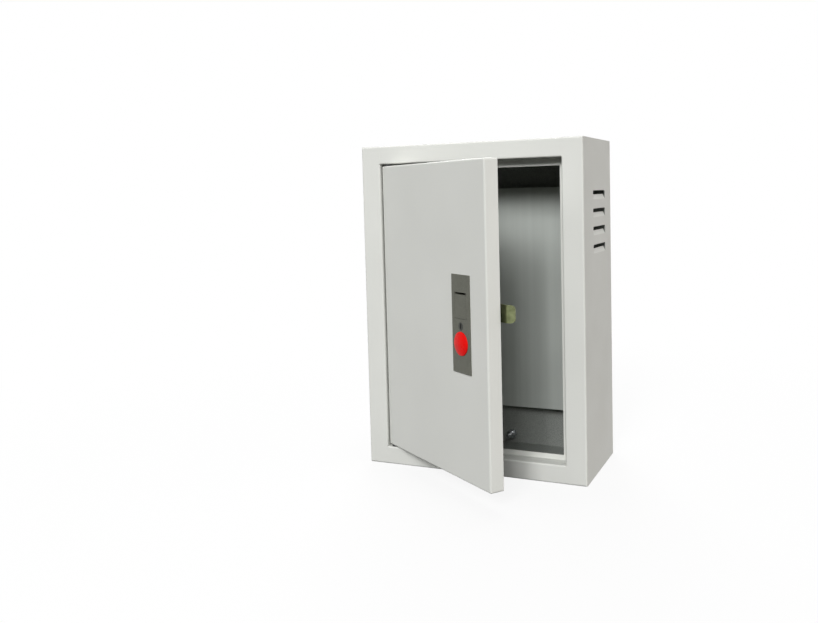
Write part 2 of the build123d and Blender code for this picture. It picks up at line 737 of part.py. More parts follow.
with BuildPart() as button_spring:
    with BuildLine() as coil:
        Helix(spring_height / SPRING_TURNS, spring_height, SPRING / 2, spring_base, direction=(0, -1, 0))
    with BuildSketch(Plane(origin=coil.line @ 0, z_dir=coil.line % 0)):
        RegularPolygon(SPRING_WIRE / 2, SPRING_WIRE_SIDES)
    sweep(path=coil.line, is_frenet=True)

# Clips screwed to both ends of the casting, which pull the lock plate against the door
with BuildPart() as lock_clips:
    with BuildSketch(across(lock_x - CLIP_WIDTH / 2)):
        with BuildLine():
            FilletPolyline(
                (skin_y + CLIP_LEG, casting_top), (skin_y, casting_top), (skin_y, casting_top + CLIP_FOOT),
                radius=CLIP_BEND,
            )
            offset(amount=CLIP_SHEET, side=Side.RIGHT)
        make_face()
    extrude(amount=CLIP_WIDTH)
    with BuildSketch(Plane.XY.offset(casting_top)):
        with Locations((lock_x, screw_y)):
            Circle(LOCK_SCREW / 2 + CLIP_HOLE_PLAY)
    extrude(amount=CLIP_SHEET, mode=Mode.SUBTRACT)
    mirror(about=Plane.XY.offset(LOCK_CENTRE_Z))

with BuildPart() as lock_screws:
    with BuildSketch(Plane.XY.offset(casting_top + CLIP_SHEET)):
        with Locations((lock_x, screw_y)):
            Circle(LOCK_SCREW_HEAD / 2)
    extrude(amount=LOCK_SCREW_HEAD_HEIGHT)
    fillet(lock_screws.edges().sort_by(Axis.Z)[-1], radius=LOCK_SCREW_ROUND)
    with BuildSketch(Plane.XY.offset(casting_top + CLIP_SHEET)):
        with Locations((lock_x, screw_y)):
            Circle(LOCK_SCREW / 2)
    extrude(amount=-(CLIP_SHEET + LOCK_SCREW_GRIP - CUT))
    mirror(about=Plane.XY.offset(LOCK_CENTRE_Z))

# Every piece by the name it has in the assembly
cabinet_pieces = {
    "body_wrap": body_wrap,
    "top_cap": top_cap,
    "bottom_cap": bottom_cap,
    "mounting_plate": mounting_plate,
    "plate_studs": plate_studs,
    "plate_rear_nuts": plate_rear_nuts,
    "plate_washers": plate_washers,
    "plate_front_nuts": plate_front_nuts,
    "earth_stud": earth_stud,
    "earth_nuts": earth_nuts,
    "earth_washer": earth_washer,
    "hinge_plate_upper": hinge_plate_upper,
    "hinge_plate_lower": hinge_plate_lower,
    "hinge_pin_upper": hinge_pin_upper,
    "hinge_pin_lower": hinge_pin_lower,
    "hinge_washer_upper": hinge_washer_upper,
    "hinge_washer_lower": hinge_washer_lower,
}
door_pieces = {
    "door_panel": door_panel,
    "hinge_socket_upper": hinge_socket_upper,
    "hinge_socket_lower": hinge_socket_lower,
    "lock_casting": lock_casting,
    "lock_clips": lock_clips,
    "lock_screws": lock_screws,
    "lock_flap": lock_flap,
    "flap_pin": flap_pin,
    "cam_spindle": cam_spindle,
    "latch_cam": latch_cam,
    "cam_washer": cam_washer,
    "cam_screw": cam_screw,
    "key_cylinder": key_cylinder,
    "push_button": push_button,
    "button_clip": button_clip,
    "button_spring": button_spring,
}
hinge_line = Location((hinge_x, hinge_y, 0))
door_ajar = hinge_line * Location((0, 0, 0), (0, 0, -DOOR_AJAR)) * hinge_line.inverse()

os.makedirs("parts", exist_ok=True)
for name, piece in cabinet_pieces.items():
    piece.part.label = name
    export_step(piece.part, f"parts/{name}.step")
for name, piece in door_pieces.items():
    piece.part.label = name
    export_step(piece.part.moved(door_ajar), f"parts/{name}.step")
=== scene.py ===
import json
from math import cos, pi, radians, sin, tan

import bpy
from mathutils import Matrix, Vector


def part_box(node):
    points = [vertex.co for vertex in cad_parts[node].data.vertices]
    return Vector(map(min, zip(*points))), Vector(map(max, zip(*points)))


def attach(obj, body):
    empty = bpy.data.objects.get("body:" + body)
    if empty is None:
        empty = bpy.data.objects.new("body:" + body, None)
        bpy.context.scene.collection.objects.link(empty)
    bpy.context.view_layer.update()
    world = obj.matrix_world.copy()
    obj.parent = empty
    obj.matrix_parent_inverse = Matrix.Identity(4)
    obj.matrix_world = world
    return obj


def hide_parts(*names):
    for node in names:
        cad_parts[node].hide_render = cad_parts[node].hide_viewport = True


# Looks of a small electrical cabinet: powder-coated folded steel, a flush lock and zinc-plated fixings.
# Metres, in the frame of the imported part: origin at the centre of the base, +Z up, front facing -Y.

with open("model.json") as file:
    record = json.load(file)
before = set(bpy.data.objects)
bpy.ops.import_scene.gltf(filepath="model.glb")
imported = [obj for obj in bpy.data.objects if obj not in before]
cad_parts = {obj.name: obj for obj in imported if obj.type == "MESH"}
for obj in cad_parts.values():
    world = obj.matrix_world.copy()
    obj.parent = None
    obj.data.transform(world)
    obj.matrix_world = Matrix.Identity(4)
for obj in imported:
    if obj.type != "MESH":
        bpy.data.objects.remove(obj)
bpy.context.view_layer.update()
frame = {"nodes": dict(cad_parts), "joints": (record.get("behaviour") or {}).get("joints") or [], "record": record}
nodes = frame["nodes"]

MM = 0.001
FORWARD = Vector((0.0, -1.0, 0.0))
RIGHT = Vector((1.0, 0.0, 0.0))
UP = Vector((0.0, 0.0, 1.0))
SRGB_OFFSET = 0.055
SRGB_POWER = 2.4


def srgb(red, green, blue):
    """Linear colour of an sRGB colour given from 0 to 255."""
    shares = [channel / 255 for channel in (red, green, blue)]
    linear = [((share + SRGB_OFFSET) / (1 + SRGB_OFFSET)) ** SRGB_POWER for share in shares]
    return (*linear, 1.0)


# Camera of the photograph, 818 by 623 pixels, whose optical axis meets the picture above its middle
IMAGE_WIDTH = 818
IMAGE_HEIGHT = 623
SENSOR_WIDTH = 36.0
FOCAL_PIXELS = 859.8
AXIS_PIXEL = (416.0, 253.0)
CAMERA_PLACE = (0.3749, -1.0239, 0.3407)
CAMERA_TURN = (86.05, 1.52, 24.83)

# Dome of the studio: a band of soft light that rises and falls with the height of its direction,
# with little left below and above it, and slightly brighter in front
DOME_LEVEL = 1.66
DOME_FRONT = 0.05
DOME_RISE = (0.22, 0.36)
DOME_FALL = (0.44, 0.64)
DOME_BELOW = 0.01
DOME_TOP = 0.05

# Soft lamps: azimuth from the front towards the right and elevation in degrees, seen from the aim
WHITE = (1.0, 1.0, 1.0)
WARM = (1.0, 0.93, 0.86)
LAMP_AIM = Vector((0.0, 0.0, 0.20))
LAMPS = {
    "key": dict(azimuth=2.0, elevation=26.5, distance=6.0, size=(1.05, 1.50), power=134.0),
    "key_middle": dict(azimuth=10.0, elevation=31.0, distance=6.0, size=(1.05, 1.65), power=95.0),
    "key_right": dict(azimuth=18.0, elevation=25.0, distance=6.0, size=(1.05, 1.80), power=51.0),
    "right": dict(azimuth=92.0, elevation=3.0, distance=4.0, size=(1.20, 0.70), power=33.0, colour=WARM),
    "rear": dict(azimuth=205.0, elevation=24.0, distance=4.0, size=(1.80, 1.20), power=76.0),
    "top": dict(azimuth=180.0, elevation=87.0, distance=2.0, size=(0.50, 0.50), power=10.0),
}

# Floor: what is seen of it glows into the white around the object, and its bounced light is dim
FLOOR_SIZE = 40.0
FLOOR_GREY = 0.82
FLOOR_BOUNCE = 0.025
FLOOR_GLOW = 0.86
FLOOR_FADE = (0.15, 1.0)

# Range of a noise that carries its visible change
NOISE_MIDDLE = (0.3, 0.7)

# Numbers of a mix node's colour sockets, whose names its other sockets have too
MIX_FIRST_COLOUR = 6
MIX_SECOND_COLOUR = 7
MIX_COLOUR_RESULT = 2

# Powder coat of the sheets, and painted shade inside them: a darker, duller coat that fades in behind the mouth
COAT_LIGHT = srgb(219, 220, 215)
COAT_DARK = srgb(214, 215, 210)
COAT_GLOSS = 0.16
COAT_CLOUDS = 110 * MM
COAT_ROUGHNESS = (0.40, 0.50)
COAT_ROUGHNESS_PATCHES = 30 * MM
COAT_SPECKLE = 0.7 * MM
COAT_SPECKLE_SHARE = 0.25
COAT_EDGE = 0.4 * MM
ORANGE_PEEL = 1.6 * MM
ORANGE_PEEL_DEPTH = 0.02 * MM
# Painted shade: the darker colours of the body's and the door's inside faces
BODY_INSIDE_SHADE = srgb(134, 138, 134)
DOOR_INSIDE_SHADE = srgb(158, 161, 157)
INSIDE_ROUGHNESS = 0.85
INSIDE_SHADE_FADE = (12 * MM, 30 * MM)
INSIDE_FACING = (-1 * MM, 1 * MM)
DOOR_FACING = (0.5, 0.8)

# Mounting plate
PLATE_LIGHT = srgb(186, 191, 186)
PLATE_DARK = srgb(180, 185, 180)
PLATE_GLOSS = 0.25
PLATE_ROUGHNESS = (0.36, 0.46)
PLATE_STREAKS = 7 * MM
PLATE_STREAK_STRETCH = (1.0, 1.0, 60.0)
PLATE_EDGE = 0.3 * MM

# Lacquered casting of the lock
LACQUER_LIGHT = srgb(104, 105, 95)
LACQUER_DARK = srgb(88, 89, 80)
LACQUER_METAL = 0.15
LACQUER_GLOSS = 0.25
LACQUER_ROUGHNESS = (0.42, 0.56)
LACQUER_ROUGHNESS_PATCHES = 6 * MM
LACQUER_GRAIN = 0.9 * MM
LACQUER_GRAIN_DEPTH = 0.03 * MM
LACQUER_EDGE = 0.3 * MM

# Red plastic of the button
RED_LIGHT = srgb(240, 14, 8)
RED_DARK = srgb(224, 11, 6)
RED_GLOSS = 0.10
RED_FLOW = 9 * MM
RED_ROUGHNESS = (0.26, 0.36)
RED_ROUGHNESS_PATCHES = 3 * MM
RED_GRAIN = 0.8 * MM
RED_GRAIN_DEPTH = 0.01 * MM
RED_EDGE = 0.2 * MM

# Plated steel: light and dark tone and middle roughness of each plating
YELLOW_ZINC = (srgb(126, 132, 96), srgb(98, 104, 72), 0.42)
ZINC_STEEL = (srgb(200, 203, 204), srgb(166, 170, 172), 0.32)
KEY_METAL = (srgb(70, 72, 68), srgb(54, 56, 52), 0.42)
PLATING_METAL = 0.85
PLATING_CLOUDS = 5 * MM
PLATING_GRAIN = 0.35 * MM
PLATING_GRAIN_STRETCH = (1.0, 1.0, 5.0)
PLATING_GRAIN_DEPTH = 0.01 * MM
PLATING_ROUGHNESS_SPREAD = 0.06
PLATING_EDGE = 0.2 * MM

# Black nylon of the hinge washers
NYLON_LIGHT = srgb(54, 54, 55)
NYLON_DARK = srgb(44, 44, 45)
NYLON_GLOSS = 0.4
NYLON_CLOUDS = 2 * MM
NYLON_ROUGHNESS = (0.45, 0.6)
NYLON_ROUGHNESS_PATCHES = 1 * MM
NYLON_GRAIN = 0.5 * MM
NYLON_GRAIN_DEPTH = 0.01 * MM
NYLON_EDGE = 0.2 * MM

# Slot of the detailed fasteners, and the angle up to which their faces are shaded as one
FASTENER_SLOT = "zinc_steel"
SMOOTH_UNDER = radians(28)

# Threads, nuts and hexagon screw
STUD = 6.0 * MM
THREAD_PITCH = 1.0 * MM
THREAD_DEPTH = 0.58 * MM
THREAD_STEEPNESS = 2.4
THREAD_ROWS = 6
THREAD_SIDES = 24
THREAD_RUN_OUT = 0.9 * MM
NUT_FLATS = 10.0 * MM
NUT_HEIGHT = 5.0 * MM
NUT_BORE = 6.1 * MM
HEX_FACE_SHARE = 0.94
HEX_CHAMFER = radians(30)
HEX_SIDES = 72
CAM_SCREW = 4.7 * MM
CAM_SCREW_FLATS = 8.0 * MM
CAM_SCREW_HEAD = 3.5 * MM
POINT_CHAMFER = 0.6 * MM

# Pan-head screws with a cross recess
PAN_SCREW = 4.0 * MM
PAN_SCREW_LENGTH = 8.0 * MM
PAN_HEAD = 7.5 * MM
PAN_HEAD_HEIGHT = 2.6 * MM
PAN_HEAD_RIM = 1.1 * MM
PAN_HEAD_STEPS = 6
ROUND_SIDES = 48
RECESS_LENGTH = 4.2 * MM
RECESS_WIDTH = 0.9 * MM
RECESS_DEPTH = 1.7 * MM
RECESS_TAPER_SHARE = 0.45

# Wire spring of the button
SPRING = 11.0 * MM
SPRING_WIRE = 1.2 * MM
SPRING_TURNS = 3
SPRING_STEPS = 32
SPRING_SIDES = 12

# Places of the body and the door at rest, read from the frame: the hinge's lower limit closes the door
body_low, body_high = (Vector(corner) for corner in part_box("body_wrap"))
body_middle = (body_low + body_high) / 2
mouth_y = body_low.y
door_hinge = next(joint for joint in frame["joints"] if joint["name"] == "door_hinge")
door_ajar = radians(-door_hinge["range_deg"][0])
door_inward = Vector((sin(door_ajar), cos(door_ajar), 0.0))
door_along = Vector((door_inward.y, -door_inward.x, 0.0))


class Shading:
    """Node tree of a material or a world, with short calls that add nodes and feed their sockets."""

    def __init__(self, owner):
        owner.use_nodes = True
        self.tree = owner.node_tree

    def feed(self, socket, value):
        """Links a socket to another node's output, or sets it to a plain value."""
        if isinstance(value, bpy.types.NodeSocket):
            self.tree.links.new(value, socket)
        else:
            socket.default_value = value

    def add(self, kind, sockets=None, **settings):
        """Outputs of a new node with those settings, its sockets fed by name or by number."""
        node = self.tree.nodes.new("ShaderNode" + kind)
        for setting, value in settings.items():
            setattr(node, setting, value)
        for socket, value in (sockets or {}).items():
            self.feed(node.inputs[socket], value)
        return node.outputs

    def math(self, operation, first, second):
        """Result of an operation on two values."""
        return self.add("Math", {0: first, 1: second}, operation=operation)["Value"]

    def vector(self, operation, first, second):
        """Outputs of an operation on two vectors."""
        return self.add("VectorMath", {0: first, 1: second}, operation=operation)

    def ramp(self, value, edge, low, high, kind="LINEAR"):
        """Value from low to high, as another one goes through the edge's range."""
        sockets = {"Value": value, "From Min": edge[0], "From Max": edge[1], "To Min": low, "To Max": high}
        return self.add("MapRange", sockets, interpolation_type=kind)["Result"]

    def step(self, value, edge, low=0.0, high=1.0):
        """Smooth step from low to high, as a value goes through the edge's range."""
        return self.ramp(value, edge, low, high, "SMOOTHSTEP")

    def seen_directly(self):
        """1 for what is seen directly, in a mirror or through glass, and 0 for light that is spread."""
        path = self.add("LightPath")
        mirrored = self.math("MAXIMUM", path["Is Camera Ray"], path["Is Glossy Ray"])
        return self.math("MAXIMUM", mirrored, path["Is Transmission Ray"])

    def blend(self, share, first, second):
        """Shader that goes from the first to the second."""
        return self.add("MixShader", {"Fac": share, 1: first, 2: second})["Shader"]

    def show(self, kind, surface):
        """Adds the output of a material or a world, which shows that surface."""
        self.add("Output" + kind, {"Surface": surface})


class Finish(Shading):
    """Material with a principled shader, and short calls for the textures that feed it."""

    def __init__(self, name, **constants):
        self.material = bpy.data.materials.new(name)
        super().__init__(self.material)
        self.inputs = self.tree.nodes["Principled BSDF"].inputs
        coordinates = self.add("TexCoord")
        self.place = coordinates["Object"]
        self.normal = coordinates["Normal"]
        for socket, value in constants.items():
            self.inputs[socket.replace("_", " ")].default_value = value

    def noise(self, size, detail=2.0, stretch=(1.0, 1.0, 1.0)):
        """Noise whose grains are about size across, drawn out along an axis by its stretch."""
        scale = [1 / (size * length) for length in stretch]
        mapped = self.add("Mapping", {"Vector": self.place, "Scale": scale})["Vector"]
        return self.add("TexNoise", {"Vector": mapped, "Scale": 1.0, "Detail": detail})["Fac"]

    def between(self, share, low, high):
        """Value from low to high, by the middle range of a noise."""
        return self.ramp(share, NOISE_MIDDLE, low, high)

    def colours(self, share, first, second):
        """Colour that goes from the first to the second."""
        sockets = {"Factor": share, MIX_FIRST_COLOUR: first, MIX_SECOND_COLOUR: second}
        return self.add("Mix", sockets, data_type="RGBA")[MIX_COLOUR_RESULT]

    def values(self, share, first, second):
        """Value that goes from the first to the second."""
        return self.add("Mix", {"Factor": share, "A": first, "B": second})["Result"]

    def facing(self, direction):
        """Product of the surface's normal and a direction, above 0 where it faces that way."""
        return self.vector("DOT_PRODUCT", self.normal, direction)["Value"]

    def colour(self, value):
        self.feed(self.inputs["Base Color"], value)

    def roughness(self, value):
        self.feed(self.inputs["Roughness"], value)

    def relief(self, height, depth, edge):
        """Relief of that depth, on edges that are rounded by the edge radius."""
        rounded = self.add("Bevel", {"Radius": edge})["Normal"]
        sockets = {"Strength": 1.0, "Distance": depth, "Height": height, "Normal": rounded}
        self.feed(self.inputs["Normal"], self.add("Bump", sockets)["Normal"])


def powder_coat(name, inside, inside_shade_colour):
    """Satin powder coat with orange peel, faint clouding and a fine speckle, darker as painted shade and duller
    where inside says so.
    """
    finish = Finish(name, Specular_IOR_Level=COAT_GLOSS)
    # Painted shade: where the mask is 1 the coat turns to the darker inside colour, and its roughness to the dull
    # one
    painted_shade_and_dullness = inside(finish)
    clouds = finish.between(finish.noise(COAT_CLOUDS), 0, 1)
    colour = finish.colours(painted_shade_and_dullness, finish.colours(clouds, COAT_DARK, COAT_LIGHT), inside_shade_colour)
    speckle = finish.between(finish.noise(COAT_SPECKLE, detail=0.0), 0, COAT_SPECKLE_SHARE)
    finish.colour(finish.colours(speckle, colour, COAT_DARK))
    roughness = finish.between(finish.noise(COAT_ROUGHNESS_PATCHES), *COAT_ROUGHNESS)
    finish.roughness(finish.values(painted_shade_and_dullness, roughness, INSIDE_ROUGHNESS))
    finish.relief(finish.noise(ORANGE_PEEL, detail=1.0), ORANGE_PEEL_DEPTH, COAT_EDGE)
    return finish.material


def inside_body(finish):
    """1 on the body's faces that look into it, away from its mouth, which take the painted shade."""
    to_middle = finish.vector("SUBTRACT", body_middle, finish.place)["Vector"]
    faces_in = finish.step(finish.facing(to_middle), INSIDE_FACING)
    depth = finish.add("SeparateXYZ", {"Vector": finish.place})["Y"]
    behind_mouth = finish.step(depth, [mouth_y + distance for distance in INSIDE_SHADE_FADE])
    return finish.math("MULTIPLY", faces_in, behind_mouth)


def inside_door(finish):
    """1 on the door's faces that look into the body, which take the painted shade."""
    return finish.step(finish.facing(door_inward), DOOR_FACING)


def plate_coat():
    """Coat of the mounting plate, with faint upright streaks of lighter and darker colour and roughness."""
    finish = Finish("plate_paint", Specular_IOR_Level=PLATE_GLOSS)
    streaks = finish.noise(PLATE_STREAKS, detail=3.0, stretch=PLATE_STREAK_STRETCH)
    finish.colour(finish.colours(finish.between(streaks, 0, 1), PLATE_DARK, PLATE_LIGHT))
    finish.roughness(finish.between(streaks, *PLATE_ROUGHNESS))
    finish.relief(finish.noise(ORANGE_PEEL, detail=1.0), ORANGE_PEEL_DEPTH, PLATE_EDGE)
    return finish.material


def lacquered_casting():
    """Matt dark grey lacquer on a die casting, slightly grainy."""
    finish = Finish("lock_metal", Metallic=LACQUER_METAL, Specular_IOR_Level=LACQUER_GLOSS)
    grain = finish.noise(LACQUER_GRAIN, detail=3.0)
    finish.colour(finish.colours(finish.between(grain, 0, 1), LACQUER_DARK, LACQUER_LIGHT))
    finish.roughness(finish.between(finish.noise(LACQUER_ROUGHNESS_PATCHES), *LACQUER_ROUGHNESS))
    finish.relief(grain, LACQUER_GRAIN_DEPTH, LACQUER_EDGE)
    return finish.material


def red_plastic():
    """Moulded red plastic, with faint flow marks and a fine grain."""
    finish = Finish("red_plastic", Specular_IOR_Level=RED_GLOSS)
    flow = finish.noise(RED_FLOW, detail=1.0)
    finish.colour(finish.colours(finish.between(flow, 0, 1), RED_DARK, RED_LIGHT))
    finish.roughness(finish.between(finish.noise(RED_ROUGHNESS_PATCHES), *RED_ROUGHNESS))
    finish.relief(finish.noise(RED_GRAIN), RED_GRAIN_DEPTH, RED_EDGE)
    return finish.material


def plated_steel(name, light, dark, roughness):
    """Plated steel: cloudy passivation over a fine drawn grain."""
    finish = Finish(name, Metallic=PLATING_METAL)
    clouds = finish.between(finish.noise(PLATING_CLOUDS, detail=3.0), 0, 1)
    finish.colour(finish.colours(clouds, dark, light))
    grain = finish.noise(PLATING_GRAIN, stretch=PLATING_GRAIN_STRETCH)
    smoothest, roughest = roughness - PLATING_ROUGHNESS_SPREAD, roughness + PLATING_ROUGHNESS_SPREAD
    finish.roughness(finish.between(grain, smoothest, roughest))
    finish.relief(grain, PLATING_GRAIN_DEPTH, PLATING_EDGE)
    return finish.material


def black_nylon():
    """Black nylon with a soft sheen."""
    finish = Finish("nylon", Specular_IOR_Level=NYLON_GLOSS)
    clouds = finish.between(finish.noise(NYLON_CLOUDS), 0, 1)
    finish.colour(finish.colours(clouds, NYLON_DARK, NYLON_LIGHT))
    finish.roughness(finish.between(finish.noise(NYLON_ROUGHNESS_PATCHES), *NYLON_ROUGHNESS))
    finish.relief(finish.noise(NYLON_GRAIN), NYLON_GRAIN_DEPTH, NYLON_EDGE)
    return finish.material


finishes = {
    "plate_paint": plate_coat(),
    "lock_metal": lacquered_casting(),
    "red_plastic": red_plastic(),
    "yellow_zinc": plated_steel("yellow_zinc", *YELLOW_ZINC),
    "zinc_steel": plated_steel("zinc_steel", *ZINC_STEEL),
    "key_metal": plated_steel("key_metal", *KEY_METAL),
    "nylon": black_nylon(),
}

body_coat = powder_coat("body_paint", inside_body, BODY_INSIDE_SHADE)
sheet_coats = {
    "body_wrap": body_coat,
    "top_cap": body_coat,
    "bottom_cap": body_coat,
    "door_panel": powder_coat("door_paint", inside_door, DOOR_INSIDE_SHADE),
}

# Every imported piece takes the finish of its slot, and the painted sheets take the coats above
for subpart in frame["record"]["subparts"]:
    node_name, slot = subpart["node"], subpart["material_slot"]
    materials = nodes[node_name].data.materials
    materials.clear()
    materials.append(sheet_coats[node_name] if slot == "paint" else finishes[slot])


# Fasteners with their threads, chamfers and recesses, which stand for the plain solids of the frame
def standing(origin, axis, across):
    """Matrix that takes a piece drawn along +Z to its origin, axis and the direction across it."""
    turned = Matrix((across, axis.cross(across), axis)).transposed()
    return Matrix.Translation(origin) @ turned.to_4x4()


def circle(radius, height, sides):
    """Ring of points at a radius and a height."""
    angles = [2 * pi * side / sides for side in range(sides)]
    return [(radius * cos(angle), radius * sin(angle), height) for angle in angles]


def skin(rings, loop=False):
    """Points and faces of a row of rings, closed by two caps or, as a loop, by its first ring."""
    count = len(rings[0])
    points = [point for ring in rings for point in ring]
    rows = [(row, row + 1) for row in range(len(rings) - 1)]
    if loop:
        rows.append((len(rings) - 1, 0))
    faces = []
    for low, high in rows:
        for i in range(count):
            j = (i + 1) % count
            faces.append((low * count + i, low * count + j, high * count + j, high * count + i))
    if not loop:
        faces.append(tuple(reversed(range(count))))
        faces.append(tuple(range(len(points) - count, len(points))))
    return points, faces


def piece(name, copies, body, replaced):
    """Mesh of several copies, each its points and faces with the matrix that places them."""
    points, faces = [], []
    for (copy_points, copy_faces), matrix in copies:
        faces += [tuple(len(points) + i for i in face) for face in copy_faces]
        points += [matrix @ Vector(point) for point in copy_points]
    mesh = bpy.data.meshes.new(name)
    mesh.from_pydata(points, [], faces)
    mesh.polygons.foreach_set("use_smooth", [True] * len(mesh.polygons))
    mesh.set_sharp_from_angle(angle=SMOOTH_UNDER)
    mesh.materials.append(finishes[FASTENER_SLOT])
    made = bpy.data.objects.new(name, mesh)
    bpy.context.scene.collection.objects.link(made)
    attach(made, body)
    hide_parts(replaced)
    return made


def threaded_rod(length):
    """Stud with a helical thread that runs out at both ends."""
    rows = round(length / THREAD_PITCH * THREAD_ROWS)
    rings = []
    for row in range(rows + 1):
        height = length * row / rows
        end = min(1.0, min(height, length - height) / THREAD_RUN_OUT)
        ring = []
        for side in range(THREAD_SIDES):
            angle = 2 * pi * side / THREAD_SIDES
            turn = (height / THREAD_PITCH - side / THREAD_SIDES) % 1.0
            crest = min(1.0, THREAD_STEEPNESS * min(turn, 1.0 - turn))
            radius = STUD / 2 - THREAD_DEPTH * (1.0 - crest * end)
            ring.append((radius * cos(angle), radius * sin(angle), height))
        rings.append(ring)
    return skin(rings)


def hexagon(flats, height, lowered):
    """Ring of a hexagon at a height, whose corners the chamfer lowers (1), raises (-1) or leaves (0)."""
    ring = []
    for side in range(HEX_SIDES):
        angle = 2 * pi * side / HEX_SIDES
        radius = flats / 2 / cos((angle % (pi / 3)) - pi / 6)
        drop = (radius - HEX_FACE_SHARE * flats / 2) * tan(HEX_CHAMFER)
        ring.append((radius * cos(angle), radius * sin(angle), height - lowered * drop))
    return ring


def hex_nut():
    """Nut chamfered on both faces, with its bore countersunk."""
    face = HEX_FACE_SHARE * NUT_FLATS / 2
    bore = NUT_BORE / 2
    sink = THREAD_DEPTH
    return skin([
        circle(bore, sink, HEX_SIDES),
        circle(bore + sink, 0.0, HEX_SIDES),
        circle(face, 0.0, HEX_SIDES),
        hexagon(NUT_FLATS, 0.0, -1),
        hexagon(NUT_FLATS, NUT_HEIGHT, 1),
        circle(face, NUT_HEIGHT, HEX_SIDES),
        circle(bore + sink, NUT_HEIGHT, HEX_SIDES),
        circle(bore, NUT_HEIGHT - sink, HEX_SIDES),
    ], loop=True)


def hex_screw(length):
    """Screw with a hexagon head, its shank below the head's seat at zero."""
    return skin([
        circle(CAM_SCREW / 2 - POINT_CHAMFER, -length, HEX_SIDES),
        circle(CAM_SCREW / 2, POINT_CHAMFER - length, HEX_SIDES),
        circle(CAM_SCREW / 2, 0.0, HEX_SIDES),
        hexagon(CAM_SCREW_FLATS, 0.0, 0),
        hexagon(CAM_SCREW_FLATS, CAM_SCREW_HEAD, 1),
        circle(HEX_FACE_SHARE * CAM_SCREW_FLATS / 2, CAM_SCREW_HEAD, HEX_SIDES),
    ])


def pan_screw():
    """Screw with a pan head, its shank below the head's seat at zero."""
    rings = [
        circle(PAN_SCREW / 2 - POINT_CHAMFER, -PAN_SCREW_LENGTH, ROUND_SIDES),
        circle(PAN_SCREW / 2, POINT_CHAMFER - PAN_SCREW_LENGTH, ROUND_SIDES),
        circle(PAN_SCREW / 2, 0.0, ROUND_SIDES),
        circle(PAN_HEAD / 2, 0.0, ROUND_SIDES),
    ]
    rise = PAN_HEAD_HEIGHT - PAN_HEAD_RIM
    for step in range(PAN_HEAD_STEPS + 1):
        angle = pi / 2 * step / PAN_HEAD_STEPS
        radius = PAN_HEAD / 2 - rise * (1 - cos(angle))
        rings.append(circle(radius, PAN_HEAD_RIM + rise * sin(angle), ROUND_SIDES))
    return skin(rings)


def recess_arm(lengthwise):
    """Tapered wedge that cuts one arm of a cross recess, at its full size where the head ends."""
    length, width = RECESS_LENGTH / 2, RECESS_WIDTH / 2
    if not lengthwise:
        length, width = width, length
    corners = ((-1, -1), (1, -1), (1, 1), (-1, 1))

    def ring(spread, height):
        return [(x * length * spread, y * width * spread, height) for x, y in corners]

    bottom = ring(RECESS_TAPER_SHARE, PAN_HEAD_HEIGHT - RECESS_DEPTH)
    top = ring(2 - RECESS_TAPER_SHARE, PAN_HEAD_HEIGHT + RECESS_DEPTH)
    return skin([bottom, top])


def carve(target, copies):
    """Cuts copies of wedges out of a piece."""
    for (points, faces), matrix in copies:
        mesh = bpy.data.meshes.new("cutter")
        mesh.from_pydata([matrix @ Vector(point) for point in points], [], faces)
        cutter = bpy.data.objects.new("cutter", mesh)
        bpy.context.scene.collection.objects.link(cutter)
        cut = target.modifiers.new("cut", "BOOLEAN")
        cut.object = cutter
        evaluated = target.evaluated_get(bpy.context.evaluated_depsgraph_get())
        carved = bpy.data.meshes.new_from_object(evaluated)
        target.modifiers.clear()
        target.data = carved
        bpy.data.objects.remove(cutter)
    target.data.set_sharp_from_angle(angle=SMOOTH_UNDER)


def wire_spring(height):
    """Coil of round wire, between the middles of its first and last turn."""
    slope = height / (SPRING_TURNS * 2 * pi)
    rings = []
    for step in range(SPRING_TURNS * SPRING_STEPS + 1):
        angle = 2 * pi * step / SPRING_STEPS
        outward = Vector((cos(angle), sin(angle), 0.0))
        upward = Vector((-sin(angle), cos(angle), slope / (SPRING / 2))).normalized().cross(-outward)
        middle = outward * SPRING / 2 + UP * slope * angle
        wire = circle(SPRING_WIRE / 2, 0.0, SPRING_SIDES)
        rings.append([middle + (outward * -x + upward * y) for x, y, _ in wire])
    return skin(rings)


def plate_fasteners():
    """Studs of the mounting plate with a nut on each side of it, and the earth stud with its nuts."""

    def on_back_wall(x, y, z):
        return standing((x, y, z), FORWARD, RIGHT)

    low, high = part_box("plate_studs")
    left, right = low[0] + STUD / 2, high[0] - STUD / 2
    bottom, top = low[2] + STUD / 2, high[2] - STUD / 2
    places = [(x, z) for x in (left, right) for z in (bottom, top)]
    rod = threaded_rod(high[1] - low[1])
    studs = [(rod, on_back_wall(x, high[1], z)) for x, z in places]
    piece("threaded_plate_studs", studs, "cabinet", "plate_studs")
    for node_name in ("plate_rear_nuts", "plate_front_nuts"):
        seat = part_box(node_name)[1][1]
        nuts = [(hex_nut(), on_back_wall(x, seat, z)) for x, z in places]
        piece("chamfered_" + node_name, nuts, "cabinet", node_name)

    low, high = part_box("earth_stud")
    x, z = (low[0] + high[0]) / 2, (low[2] + high[2]) / 2
    stud = (threaded_rod(high[1] - low[1]), on_back_wall(x, high[1], z))
    piece("threaded_earth_stud", [stud], "cabinet", "earth_stud")
    low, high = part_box("earth_nuts")
    nuts = [(hex_nut(), on_back_wall(x, seat, z)) for seat in (high[1], low[1] + NUT_HEIGHT)]
    piece("chamfered_earth_nuts", nuts, "cabinet", "earth_nuts")


